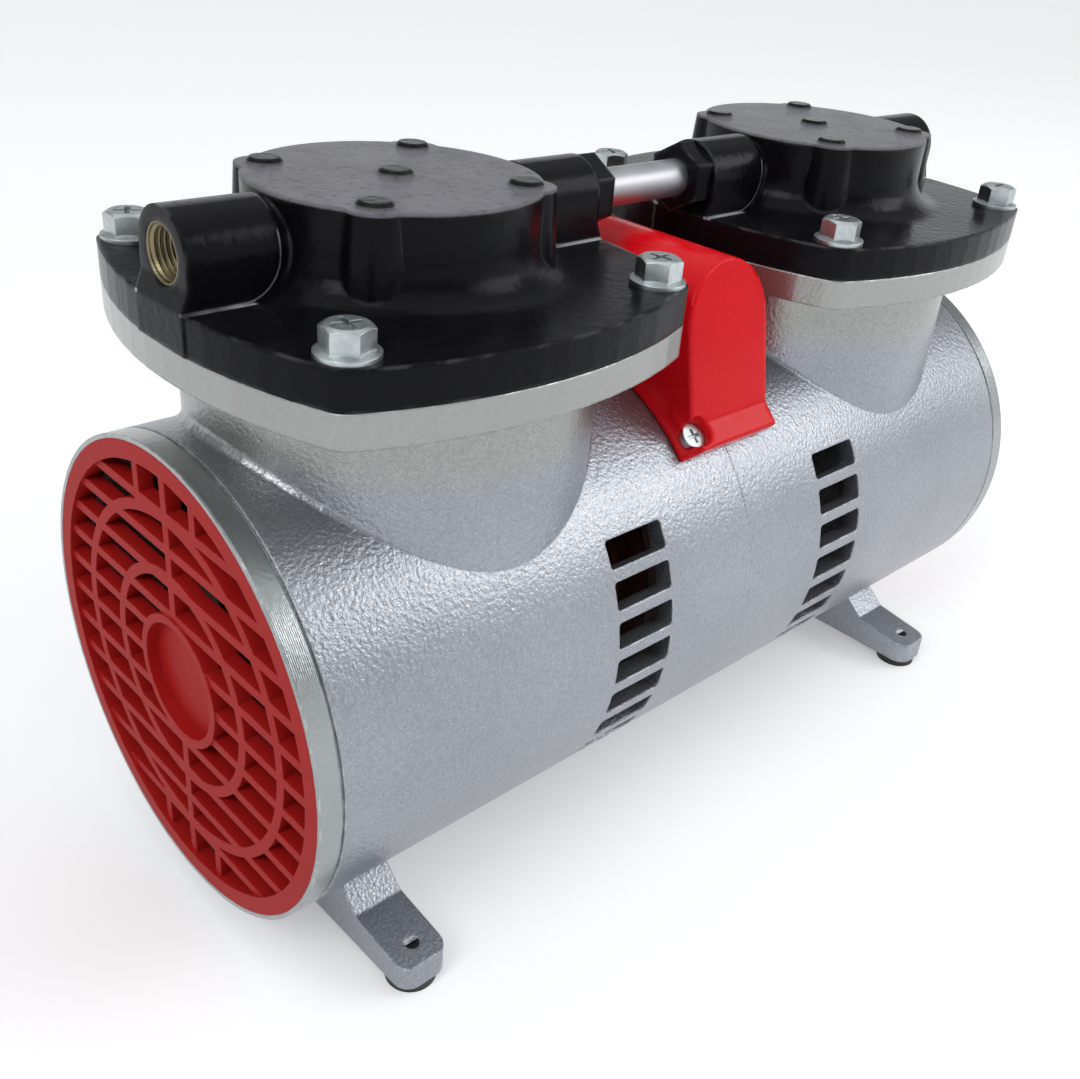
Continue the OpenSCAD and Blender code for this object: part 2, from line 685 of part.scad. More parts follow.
module rear_intake_disc() { valve_disc(1, -1); }
module rear_exhaust_disc() { valve_disc(1, 1); }

// Diaphragm drive

// Diaphragm whose middle stands at height up above its clamped edge
module diaphragm(side, up) {
    n = 8;
    r0 = clamp_r + 0.8;
    r1 = chamber_r - 0.5;
    wave = [for (i = [0:n]) [r0 + (r1 - r0) * i / n, up * (1 + cos(180 * i / n)) / 2]];
    color(rubber) at_head(side) rotate_extrude() polygon(concat(
        [[clamp_screw_r + loose, up]], wave, [[diaphragm_r, 0], [diaphragm_r, -diaphragm_t]],
        [for (i = [n:-1:0]) [wave[i][0], wave[i][1] - diaphragm_t]],
        [[clamp_screw_r + loose, up - diaphragm_t]]));
}
module front_diaphragm() { diaphragm(-1, throw_r); }
module rear_diaphragm() { diaphragm(1, -throw_r); }

// Places children at the axis of an eccentric: up at the front, down at the rear
module at_throw(side) { on_axis() translate([side * head_x, 0, -side * throw_r]) children(); }
module clamp_disc(side) {
    color(steel) at_throw(side) translate([0, 0, joint_h]) difference() {
        rotate_extrude()
            polygon([[0, 0], [clamp_r, 0], [clamp_r, clamp_t - 1], [clamp_r - 1.5, clamp_t], [0, clamp_t]]);
        translate([0, 0, -cut]) cylinder(r = clamp_screw_r + fit, h = clamp_t + 2 * cut);
        translate([0, 0, clamp_seat]) cylinder(
            r1 = clamp_screw_r + fit, r2 = clamp_screw_r + fit + clamp_head_t + loose, h = clamp_head_t + loose);
    }
}
module front_clamp_disc() { clamp_disc(-1); }
module rear_clamp_disc() { clamp_disc(1); }
module clamp_screw(side) {
    color(zinc) at_throw(side) translate([0, 0, joint_h]) difference() {
        union() {
            translate([0, 0, -clamp_screw_l]) cylinder(r = clamp_screw_r, h = clamp_screw_l + clamp_seat + 0.01);
            translate([0, 0, clamp_seat])
                cylinder(r1 = clamp_screw_r, r2 = clamp_screw_r + clamp_head_t, h = clamp_head_t);
        }
        translate([0, 0, clamp_t - 1.6]) hex(clamp_screw_r, clamp_t);
    }
}
module front_clamp_screw() { clamp_screw(-1); }
module rear_clamp_screw() { clamp_screw(1); }

// Rod with its ring round the bearing and its plate under the diaphragm
module rod(side) {
    color(silver) at_throw(side) difference() {
        union() {
            rod_x(rod_ring_r, -rod_w / 2, rod_w / 2);
            block([-rod_w / 2, -rod_stem, rod_bore_r], [rod_w / 2, rod_stem, rod_top - 1]);
            block([-rod_web / 2, -clamp_r + 4, rod_ring_r - 6], [rod_web / 2, clamp_r - 4, rod_top - 1]);
            translate([0, 0, rod_top - clamp_screw_l - 3]) cylinder(r = clamp_screw_r + 4, h = clamp_screw_l + 2);
            translate([0, 0, rod_top - rod_plate_t]) cylinder(r = clamp_r, h = rod_plate_t);
        }
        rod_x(rod_bore_r + fit, -rod_w, rod_w);
        translate([0, 0, rod_top + diaphragm_t - clamp_screw_l - 1])
            cylinder(r = clamp_screw_r + fit, h = clamp_screw_l + 2);
        for (y = [-1, 1]) translate([0, y * (clamp_r + 6), rod_ring_r + rod_waist])
            rod_x(rod_waist, -2 * cut, 2 * cut);
    }
}
module front_rod() { rod(-1); }
module rear_rod() { rod(1); }

// Ball bearing parts about the X axis, from x0 to x1, grooved for balls on radius rp
module race(r1, r2, x0, x1, rp, rb) {
    difference() {
        ring_x(r1, r2, x0, x1);
        translate([(x0 + x1) / 2, 0, 0]) rotate([0, 90, 0]) rotate_extrude()
            translate([rp, 0]) circle(r = rb + ball_gap);
    }
}
module ball_row(x, rp, rb, n) {
    for (i = [0:n - 1]) rotate([360 * i / n, 0, 0]) translate([x, 0, rp]) sphere(r = rb);
}
module rod_outer_race(side) {
    color(steel) at_throw(side)
        race(rod_pitch_r + race_half, rod_bore_r, -rod_w / 2, rod_w / 2, rod_pitch_r, rod_ball_r);
}
module rod_inner_race(side) {
    color(steel) at_throw(side)
        race(rod_seat_r + fit, rod_pitch_r - race_half, -rod_w / 2, rod_w / 2, rod_pitch_r, rod_ball_r);
}
module rod_balls(side) { color(zinc) at_throw(side) ball_row(0, rod_pitch_r, rod_ball_r, rod_ball_n); }
module front_rod_outer_race() { rod_outer_race(-1); }
module front_rod_inner_race() { rod_inner_race(-1); }
module front_rod_balls() { rod_balls(-1); }
module rear_rod_outer_race() { rod_outer_race(1); }
module rear_rod_inner_race() { rod_inner_race(1); }
module rear_rod_balls() { rod_balls(1); }

// Eccentric with its counterweight on the motor side, drawn for the end towards +X, throw downwards
module eccentric() {
    difference() {
        union() {
            translate([0, 0, -throw_r]) {
                rod_x(rod_seat_r, ecc_x - cut, ecc_x + rod_w);
                rod_x(rod_seat_r + collar_rise, ecc_x - collar_t, ecc_x);
            }
            rod_x(hub_r, ecc_x - weight_t, ecc_x - collar_t + cut);
            intersection() {
                rod_x(weight_r, ecc_x - weight_t, ecc_x - collar_t);
                block([0, -weight_r, -2], [half_l, weight_r, weight_r]);
            }
        }
        rod_x(shaft_end_r + fit, ecc_x - weight_t - cut, ecc_x + rod_w + cut);
        translate([set_x, 0, shaft_end_r]) cylinder(r = set_r + fit, h = weight_r);
    }
}
module front_eccentric() { color(steel) on_axis() rotate([0, 180, 0]) eccentric(); }
module rear_eccentric() { color(steel) on_axis() eccentric(); }
module set_screws() {
    color(steel) on_axis() for (s = [0, 180]) rotate([0, s, 0]) {
        translate([set_x, 0, shaft_end_r + fit]) cylinder(r = set_r, h = set_l);
        translate([fan_x + fan_l / 2, 0, shaft_end_r + fit]) cylinder(r = set_r, h = set_l);
    }
}

// Motor

module shaft() {
    color(steel) on_axis() {
        rod_x(core_seat_r, -bearing_x, bearing_x);
        rod_x(shaft_r, -shaft_step_x, shaft_step_x);
        rod_x(shaft_end_r, -shaft_end_x, shaft_end_x);
    }
}
cage_n = 18;
cage_r = 2;
cage_circle = stator_bore - air_gap - cage_r - 1.5;
cage_fins = 9;
module cage_bars(r, x) {
    for (i = [0:cage_n - 1]) rotate([360 * i / cage_n, 0, 0]) translate([0, 0, cage_circle]) rod_x(r, -x, x);
}
module rotor_core() {
    color(steel) on_axis() difference() {
        rod_x(stator_bore - air_gap, -core_half, core_half);
        rod_x(core_seat_r + fit, -core_half - cut, core_half + cut);
        cage_bars(cage_r + fit, core_half + cut);
    }
}
module rotor_cage() {
    color(silver) on_axis() {
        cage_bars(cage_r, core_half + cut);
        for (s = [0, 180]) rotate([0, s, 0]) {
            ring_x(cage_circle - 6, cage_circle + cage_r + 0.8, core_half, core_half + 6);
            for (i = [0:cage_fins - 1]) rotate([i * 360 / cage_fins, 0, 0])
                block([core_half + 5, -1, cage_circle - 5], [core_half + 14, 1, cage_circle + 1.5]);
        }
    }
}
slot_top = (stator_bore + bore_r) / 2;           // bottom of a winding slot
end_turns = 13;                                 // length of the end turns past the core
slot_half = 2.6;                                // half width of a slot
slot_mouth = 1.2;                               // half width of its mouth
lead_flat = 3;                                  // depth of the flat that lets the leads past the core
module stator_core() {
    color(steel) on_axis() difference() {
        rod_x(bore_r - fit, -core_half, core_half);
        rod_x(stator_bore, -core_half - cut, core_half + cut);
        for (i = [0:stator_slots - 1]) rotate([360 * i / stator_slots, 0, 0]) {
            block([-core_half - cut, -slot_mouth, stator_bore - cut], [core_half + cut, slot_mouth, stator_bore + 3]);
            block([-core_half - cut, -slot_half, stator_bore + 2], [core_half + cut, slot_half, slot_top]);
        }
        tie_places() rod_x(tie_r + loose, -core_half - cut, core_half + cut);
        block([-core_half - cut, -body_r, bore_r - lead_flat], [core_half + cut, body_r, body_r]);
    }
}
module stator_winding() {
    color(brass) on_axis() {
        for (i = [0:stator_slots - 1]) rotate([360 * i / stator_slots, 0, 0])
            block([-core_half - 2, loose - slot_half, stator_bore + 2.3],
                [core_half + 2, slot_half - loose, slot_top - loose]);
        for (s = [0, 180]) rotate([0, s, 0])
            ring_x(stator_bore + 2.3, slot_top + 2, core_half + 0.5, core_half + end_turns);
    }
}
module bearing_race(side, inner) {
    color(steel) on_axis() rotate([0, 0, side > 0 ? 0 : 180]) if (inner)
        race(shaft_r + fit, bearing_pitch_r - race_half, bearing_x, bearing_x + bearing_w,
            bearing_pitch_r, bearing_ball_r);
    else
        race(bearing_pitch_r + race_half, bearing_r, bearing_x, bearing_x + bearing_w,
            bearing_pitch_r, bearing_ball_r);
}
module bearing_balls(side) {
    color(zinc) on_axis()
        ball_row(side * (bearing_x + bearing_w / 2), bearing_pitch_r, bearing_ball_r, bearing_ball_n);
}
module front_outer_race() { bearing_race(-1, false); }
module front_inner_race() { bearing_race(-1, true); }
module front_balls() { bearing_balls(-1); }
module rear_outer_race() { bearing_race(1, false); }
module rear_inner_race() { bearing_race(1, true); }
module rear_balls() { bearing_balls(1); }
module fan() {
    difference() {
        union() {
            rod_x(fan_hub_r, fan_x, fan_x + fan_l);
            ring_x(fan_hub_r - 1, 0.75 * fan_r, fan_x, fan_x + 2);
            for (i = [0:fan_blades - 1]) rotate([i * 360 / fan_blades, 0, 0])
                translate([fan_x + fan_l / 2, 0, fan_hub_r - 1]) rotate([0, 0, blade_turn])
                block([-fan_l / 2, -1, 0], [fan_l / 2, 1, fan_r - fan_hub_r - 1]);
        }
        rod_x(shaft_end_r + fit, fan_x - fan_l, fan_x + 2 * fan_l);
        translate([fan_x + fan_l / 2, 0, shaft_end_r]) cylinder(r = set_r + fit, h = fan_hub_r);
    }
}
module front_fan() { color(black) on_axis() rotate([0, 180, 0]) fan(); }
module rear_fan() { color(black) on_axis() fan(); }
module tie_bolts() {
    x1 = bulkhead_x + bulkhead_t;
    color(zinc) on_axis() tie_places() {
        rod_x(tie_r, -x1 - cut, x1 + tie_nut_t + 2);
        for (s = [-1, 1]) translate([s * x1, 0, 0]) rotate([0, s * 90, 0]) hex(tie_nut_af, tie_nut_t);
    }
}

// Tube between the heads

tube_end = head_x - port_block_l;                // where the tube enters a head
module at_tube() { on_axis() translate([0, 0, joint_h + port_h]) children(); }
module transfer_tube() {
    color(silver) at_tube() ring_x(tube_r - tube_t, tube_r, -tube_end - tube_in, tube_end + tube_in);
}
module tube_nuts() {
    color(black) at_tube() for (s = [0, 180]) rotate([0, s, 0]) difference() {
        union() {
            translate([tube_end - tube_nut_l, 0, 0]) rotate([0, 90, 0]) hex(tube_nut_af, tube_nut_l);
            rod_x(nut_spigot_r, tube_end - cut, tube_end + nut_spigot);
        }
        rod_x(tube_r + fit, 0, half_l);
    }
}
module tube_ferrules() {
    color(brass) at_tube() for (s = [0, 180]) rotate([0, s, 0])
        ring_x(tube_r + fit, nut_spigot_r, tube_end + nut_spigot, tube_end + nut_spigot + ferrule_l);
}

// Cover over the joint of the castings

cover_lean = 0.2115;                            // how far an end leans inwards for each millimetre up
module wedge(a0, a1) {
    rotate([90, 0, 90]) linear_extrude(4 * cover_half, center = true)
        polygon([[0, 0], body_d * [cos(a0), sin(a0)], [0, 1.2 * body_d], body_d * [cos(a1), sin(a1)]]);
}
// Arched space of the cover, smaller than its outside by inset
module cover_form(inset) {
    e = cover_end - inset;
    intersection() {
        rotate([90, 0, 0]) linear_extrude(4 * cover_end, center = true) {
            translate([0, cover_arch_z]) circle(r = cover_half - inset);
            translate([inset - cover_half, body_r / 2])
                square([2 * (cover_half - inset), cover_arch_z - body_r / 2]);
        }
        rotate([90, 0, 90]) linear_extrude(4 * cover_half, center = true) polygon([
            [e, cover_crest], [e + cover_lean * (cover_crest - body_r / 2), body_r / 2],
            [-e - cover_lean * (cover_crest - body_r / 2), body_r / 2], [-e, cover_crest]]);
    }
}
module terminal_cover() {
    foot = [[-cover_foot_half, body_r - 1], [-cover_foot_half, body_r + 1.4]];
    flare = [for (i = [0:5]) [-cover_foot_half + (cover_foot_half - cover_half + 0.2) * sin(18 * i),
        body_r + 1.4 + 6 * (1 - cos(18 * i))]];
    half = concat(foot, flare);
    color(red) on_axis() difference() {
        union() {
            cover_form(0);
            intersection() {
                turn_x(concat(half, [for (i = [len(half) - 1:-1:0]) [-half[i][0], half[i][1]]]));
                wedge(cover_low, 180 - cover_low);
            }
            for (s = [0, 1]) mirror([0, s, 0]) intersection() {
                ring_x(body_r - 1, body_r + cover_ledge, -cover_half - 1, cover_half + 1);
                wedge(cover_low + 2, cover_low + 12);
            }
        }
        rod_x(body_r + fit, -half_l, half_l);
        for (s = [0, 1]) mirror([0, s, 0]) difference() {
            block([-half_l, 0, 0], [half_l, body_d, body_d]);
            wedge(cover_low, 180 - cover_low);
        }
        difference() {
            cover_form(cover_t);
            cover_screw_places() cylinder(r = cover_screw_head_r + 1.5, h = body_r + 2 * cover_ledge);
        }
        cover_screw_places() {
            cylinder(r = cover_screw_r + loose, h = body_d);
            translate([0, 0, body_r + cover_ledge - cover_screw_head_t - 1])
                cylinder(r = cover_screw_head_r + loose, h = body_r);
        }
        at_gland() translate([0, 0, -2 * cover_t]) cylinder(r = gland_r + fit, h = 4 * cover_t);
    }
}
module cover_screw_places() { for (s = [-1, 1]) radial(s, s * cover_screw_x, cover_screw_a) children(); }
module cover_screws() {
    z1 = body_r + cover_ledge - 1;
    color(zinc) on_axis() cover_screw_places() difference() {
        union() {
            translate([0, 0, bore_r + 0.5]) cylinder(r = cover_screw_r, h = z1 - bore_r - 1);
            translate([0, 0, z1 - cover_screw_head_t]) cylinder(r = cover_screw_head_r, h = cover_screw_head_t);
        }
        for (a = [0, 90]) rotate([0, 0, a]) block([-2.2, -0.5, z1 - 1], [2.2, 0.5, z1 + 1]);
    }
}
module run_capacitor() {
    color(silver) on_axis() translate([0, 0, cover_arch_z]) {
        rotate([90, 0, 0]) cylinder(r = capacitor_r, h = 2 * capacitor_half, center = true);
        for (x = [-1, 1] * tab_x)
            block([x - tab_t / 2, -capacitor_half - tab_l, -tab_w / 2], [x + tab_t / 2, 0, tab_w / 2]);
    }
}
module capacitor_cradle() {
    color(black) on_axis() difference() {
        union() {
            for (s = [0, 1]) mirror([0, s, 0])
                block([-capacitor_r + 1, cradle_y, bore_r],
                    [capacitor_r - 1, cradle_y + cradle_t, cover_arch_z - cradle_low]);
            for (s = [0, 1]) mirror([s, 0, 0])
                block([grommet_r + 3, -cradle_y - 1, bore_r],
                    [capacitor_r - 1, cradle_y + 1, cover_arch_z - cradle_web_low]);
        }
        rod_x(body_r + fit, -body_r, body_r);
        translate([0, 0, cover_arch_z]) rotate([90, 0, 0])
            cylinder(r = capacitor_r + fit, h = 4 * cover_end, center = true);
    }
}
module lead_grommet() {
    color(rubber) on_axis() difference() {
        union() {
            translate([0, 0, bore_r - 1.8]) cylinder(r = grommet_r + 1.5, h = 1.3);
            translate([0, 0, bore_r - 1]) cylinder(r = grommet_r - fit, h = wall_t + 2);
            translate([0, 0, body_r + fit]) cylinder(r = grommet_r + 1.5, h = 1.2);
        }
        cylinder(r = grommet_r - 2.5, h = body_d);
    }
}
module at_gland() {
    translate([0, cover_end + cover_lean * (cover_crest - gland_z), gland_z])
        rotate([-90 + atan(cover_lean), 0, 0]) children();
}
module cable_gland() {
    color(black) on_axis() at_gland() difference() {
        union() {
            translate([0, 0, -cover_t - gland_nut_t - 1]) cylinder(r = gland_r, h = cover_t + 2 * gland_nut_t + 1);
            translate([0, 0, -cover_t - gland_nut_t]) hex(gland_af + 1, gland_nut_t);
            hex(gland_af, gland_nut_t);
            rotate_extrude() polygon([[0, 3], [gland_r + 0.5, 3], [gland_r + 0.5, gland_l - 2.5],
                [gland_bore_r + 1.3, gland_l], [0, gland_l]]);
        }
        translate([0, 0, -2 * gland_l]) cylinder(r = gland_bore_r, h = 4 * gland_l);
    }
}
module rubber_feet() {
    color(rubber) for (x = [-1, 1], y = [-1, 1]) translate([x * foot_x, y * foot_hole_y, 0]) {
        cylinder(r = rubber_r, h = rubber_t);
        cylinder(r = foot_hole_r - 0.15, h = rubber_t + toe_t - 1);
    }
}

front_housing();
rear_housing();
front_grille();
rear_grille();
front_head();
rear_head();
front_head_bolts();
rear_head_bolts();
front_port_bush();
rear_port_bush();
front_valve_plate();
rear_valve_plate();
valve_gaskets();
valve_screws();
valve_guides();
front_intake_disc();
front_exhaust_disc();
rear_intake_disc();
rear_exhaust_disc();
front_diaphragm();
rear_diaphragm();
front_clamp_disc();
rear_clamp_disc();
front_clamp_screw();
rear_clamp_screw();
front_rod();
rear_rod();
front_rod_outer_race();
front_rod_inner_race();
front_rod_balls();
rear_rod_outer_race();
rear_rod_inner_race();
rear_rod_balls();
front_eccentric();
rear_eccentric();
set_screws();
shaft();
rotor_core();
rotor_cage();
stator_core();
stator_winding();
front_outer_race();
front_inner_race();
front_balls();
rear_outer_race();
rear_inner_race();
rear_balls();
front_fan();
rear_fan();
tie_bolts();
transfer_tube();
tube_nuts();
tube_ferrules();
terminal_cover();
cover_screws();
run_capacitor();
capacitor_cradle();
lead_grommet();
cable_gland();
rubber_feet();
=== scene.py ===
"""Looks of the twin head vacuum pump, in metres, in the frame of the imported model:
X along the motor shaft, Z up, and the rubber feet on z = 0."""

import json
import math

import bpy
import numpy as np
from mathutils import Matrix, Vector


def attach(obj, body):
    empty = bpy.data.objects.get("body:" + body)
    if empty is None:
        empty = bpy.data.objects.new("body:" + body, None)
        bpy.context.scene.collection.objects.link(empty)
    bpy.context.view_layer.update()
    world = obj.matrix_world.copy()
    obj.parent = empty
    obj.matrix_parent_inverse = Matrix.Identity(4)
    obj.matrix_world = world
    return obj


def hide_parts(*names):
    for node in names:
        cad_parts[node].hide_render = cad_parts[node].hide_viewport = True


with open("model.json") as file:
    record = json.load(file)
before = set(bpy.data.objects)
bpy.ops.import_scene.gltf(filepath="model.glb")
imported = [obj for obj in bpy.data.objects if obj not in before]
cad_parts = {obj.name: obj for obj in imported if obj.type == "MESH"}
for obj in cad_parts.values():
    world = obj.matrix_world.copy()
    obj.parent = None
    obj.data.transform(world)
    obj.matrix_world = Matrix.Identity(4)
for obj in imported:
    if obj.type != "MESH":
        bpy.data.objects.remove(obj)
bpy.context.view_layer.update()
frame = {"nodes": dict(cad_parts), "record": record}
nodes = frame["nodes"]

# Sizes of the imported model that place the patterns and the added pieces

MM = 0.001
AXIS_H = 76.5 * MM                      # motor shaft above the ground
BODY_R = 66 * MM
HALF_L = 155 * MM                       # half the pump's length
JOINT_H = AXIS_H + BODY_R + 25.5 * MM   # joint of castings and heads
FLANGE_T = 8.5 * MM                     # flange of a neck
HEAD_X = 87 * MM                        # middle of a head
DOME_TOP = JOINT_H + 31 * MM
PORT_H = JOINT_H + 20 * MM              # axis of the ports
PORT_END = HEAD_X + 62 * MM             # mouth of an outer port
PORT_R = 5.72 * MM                      # crests of its thread
BLOCK_R = 10.5 * MM                     # half the width of a port block
SHAFT_LINE = (0, 0, AXIS_H)


# Camera

def aim_camera():
    """Pinhole camera at the photo's place: azimuth, height angle and roll about its target, found by a
    least squares fit to the photo. Axes are right, up and back."""
    azimuth, height, roll = math.radians(-45.65), math.radians(29.74), math.radians(5.19)
    target, distance = Vector((-25.62, 0.0, 75.8)) * MM, 383.09 * MM
    focal_px, photo_px, sensor_mm = 1170.67, 1080, 36
    back = Vector((math.sin(azimuth) * math.cos(height), -math.cos(azimuth) * math.cos(height),
                   math.sin(height)))
    level = (-back).cross(Vector((0, 0, 1))).normalized()
    upright = level.cross(-back)
    right = level * math.cos(roll) + upright * math.sin(roll)
    up = upright * math.cos(roll) - level * math.sin(roll)
    place = target + back * distance
    data = bpy.data.cameras.new("photo_camera")
    data.sensor_fit = "HORIZONTAL"
    data.sensor_width = sensor_mm
    data.lens = sensor_mm * focal_px / photo_px
    data.clip_start = 10 * MM
    camera = bpy.data.objects.new("photo_camera", data)
    camera.matrix_world = Matrix((
        (right.x, up.x, back.x, place.x), (right.y, up.y, back.y, place.y),
        (right.z, up.z, back.z, place.z), (0, 0, 0, 1)))
    bpy.context.scene.collection.objects.link(camera)
    bpy.context.scene.camera = camera


# Node helpers

def feed(tree, node, inputs):
    """Sets inputs of a node; each is a value or the socket that feeds it."""
    for key, value in inputs.items():
        if isinstance(value, bpy.types.NodeSocket):
            tree.links.new(value, node.inputs[key])
        else:
            node.inputs[key].default_value = value


def put(tree, kind, inputs=None, **settings):
    """Adds a shader node."""
    made = tree.nodes.new("ShaderNode" + kind)
    for name, value in settings.items():
        setattr(made, name, value)
    feed(tree, made, inputs or {})
    return made


def maths(tree, operation, a, b=0.0, c=0.0, clamp=False):
    return put(tree, "Math", {0: a, 1: b, 2: c}, operation=operation, use_clamp=clamp).outputs[0]


def product(tree, a, b):
    return maths(tree, "MULTIPLY", a, b)


def opposite(tree, mask):
    return maths(tree, "SUBTRACT", 1.0, mask)


def largest(tree, first, *others):
    for other in others:
        first = maths(tree, "MAXIMUM", first, other)
    return first


def apart(tree, a, b):
    return maths(tree, "ABSOLUTE", maths(tree, "SUBTRACT", a, b))


def diagonal(tree, a, b):
    """Square root of a squared plus b squared."""
    return maths(tree, "SQRT", maths(tree, "ADD", product(tree, a, a), product(tree, b, b)))


def ramp(tree, mask, at_0, at_1):
    """A straight line between its values where the mask is 0 and 1."""
    return maths(tree, "MULTIPLY_ADD", mask, at_1 - at_0, at_0)


def step_up(tree, value, low, high, at_low=0.0, at_high=1.0):
    """at_low below low, at_high above high, smooth between."""
    return put(tree, "MapRange", {0: value, 1: low, 2: high, 3: at_low, 4: at_high},
               interpolation_type="SMOOTHSTEP").outputs[0]


def blend_colour(tree, factor, a, b):
    return put(tree, "Mix", {0: factor, 6: a, 7: b}, data_type="RGBA").outputs[2]


def tinted(tree, base, colour, mask, strength):
    """The base turned towards a colour by the mask times the strength."""
    return blend_colour(tree, product(tree, mask, strength), base, colour)


def noise(tree, place, scale, detail, roughness=0.5):
    return put(tree, "TexNoise", {"Vector": place, "Scale": scale, "Detail": detail,
                                  "Roughness": roughness}).outputs[0]


def stretched(tree, place, scale):
    return put(tree, "Mapping", {"Vector": place, "Scale": scale}).outputs[0]


def split(tree, vector):
    return put(tree, "SeparateXYZ", {0: vector}).outputs


def bump(tree, height, strength, distance, normal=None):
    inputs = {"Height": height, "Strength": strength, "Distance": distance}
    if normal is not None:
        inputs["Normal"] = normal
    return put(tree, "Bump", inputs).outputs[0]


def new_group(name, inputs, outputs):
    """A node group with these inputs and outputs, each a name and a kind of socket. Gives its tree, what it
    is given, and the function that puts a socket on one of its outputs."""
    tree = bpy.data.node_groups.new(name, "ShaderNodeTree")
    for way, sockets in (("INPUT", inputs), ("OUTPUT", outputs)):
        for label, kind in sockets.items():
            tree.interface.new_socket(label, in_out=way, socket_type="NodeSocket" + kind)
    entry = tree.nodes.new("NodeGroupInput")
    leave = tree.nodes.new("NodeGroupOutput")
    return tree, entry.outputs, lambda label, socket: tree.links.new(socket, leave.inputs[label])


def use(tree, group, **inputs):
    """Adds a node of a shared group and gives its outputs."""
    return put(tree, "Group", inputs, node_tree=group).outputs


# Effects that several finishes share

def cast_grain():
    """Skin of a painted casting. Height is fine noise less the pits of a cell pattern; Fleck is 1 on
    scattered bright specks; Cloud is slow variation from 0 to 1."""
    finer = 3.2                         # grain of the specks over that of the skin
    tree, given, give = new_group("cast_grain", {"Place": "Vector", "Grain": "Float", "Pits": "Float"},
                                  {"Height": "Float", "Fleck": "Float", "Cloud": "Float"})
    fine = noise(tree, given["Place"], given["Grain"], detail=3.0, roughness=0.6)
    cells = put(tree, "TexVoronoi", {"Vector": given["Place"], "Scale": given["Grain"]},
                feature="SMOOTH_F1").outputs[0]
    specks = noise(tree, given["Place"], product(tree, given["Grain"], finer), detail=1.0)
    give("Height", maths(tree, "SUBTRACT", fine, product(tree, cells, given["Pits"])))
    give("Fleck", step_up(tree, specks, low=0.52, high=0.72))
    give("Cloud", noise(tree, given["Place"], scale=22.0, detail=4.0))
    return tree


def edge_wear_and_highlight():
    """Rounded edges. Normal is the surface normal averaged over Radius; Mask is where it turns away
    from the true normal, broken up by noise, so it marks the edges for wear and for painted edge highlights."""
    tree, given, give = new_group("edge_wear_and_highlight", {"Place": "Vector", "Radius": "Float", "Break": "Float"},
                                  {"Normal": "Vector", "Mask": "Float"})
    soft = put(tree, "Bevel", {"Radius": given["Radius"]}, samples=4).outputs[0]
    true = put(tree, "NewGeometry").outputs["Normal"]
    facing = put(tree, "VectorMath", {0: soft, 1: true}, operation="DOT_PRODUCT").outputs["Value"]
    turned = step_up(tree, opposite(tree, facing), low=0.02, high=0.2)
    kept = step_up(tree, noise(tree, given["Place"], given["Break"], detail=3.0), low=0.45, high=0.62)
    give("Normal", soft)
    give("Mask", maths(tree, "MULTIPLY", turned, kept, clamp=True))
    return tree


def turned_lines():
    """Fine rings of a lathe tool: a wave of the radius about the X axis through Centre, or of the
    place along X where Along is 1, made uneven by noise."""
    wave_share = 0.35                   # height of the wave over that of the noise
    tree, given, give = new_group(
        "turned_lines", {"Place": "Vector", "Centre": "Vector", "Along": "Float", "Pitch": "Float"},
        {"Height": "Float"})
    part = split(tree, put(tree, "VectorMath", {0: given["Place"], 1: given["Centre"]},
                           operation="SUBTRACT").outputs[0])
    radius = diagonal(tree, part["Y"], part["Z"])
    run = maths(tree, "ADD", product(tree, radius, opposite(tree, given["Along"])),
                product(tree, part["X"], given["Along"]))
    turns = maths(tree, "DIVIDE", run, given["Pitch"])
    uneven = noise(tree, put(tree, "CombineXYZ", {0: turns}).outputs[0], scale=0.35, detail=3.0)
    wave = maths(tree, "SINE", product(tree, turns, math.tau))
    give("Height", maths(tree, "ADD", product(tree, wave, wave_share), uneven))
    return tree


def settled_dust():
    """Mask of dust: patchy noise on faces that look up."""
    tree, given, give = new_group("settled_dust", {"Place": "Vector", "Scale": "Float"}, {"Mask": "Float"})
    up = split(tree, put(tree, "NewGeometry").outputs["Normal"])["Z"]
    patches = noise(tree, given["Place"], given["Scale"], detail=6.0, roughness=0.7)
    give("Mask", product(tree, step_up(tree, up, low=0.3, high=1.0),
                         step_up(tree, patches, low=0.4, high=0.75)))
    return tree


GRAIN, EDGE, LATHE, DUST = cast_grain(), edge_wear_and_highlight(), turned_lines(), settled_dust()


# Finishes

def new_material(name):
    material = bpy.data.materials.new(name)
    material.use_nodes = True
    return material, material.node_tree, material.node_tree.nodes["Principled BSDF"]


def start_finish(name):
    """A material with its Principled shader and the Object coordinates that its patterns read."""
    material, tree, shader = new_material(name)
    return material, tree, shader, put(tree, "TexCoord").outputs["Object"]


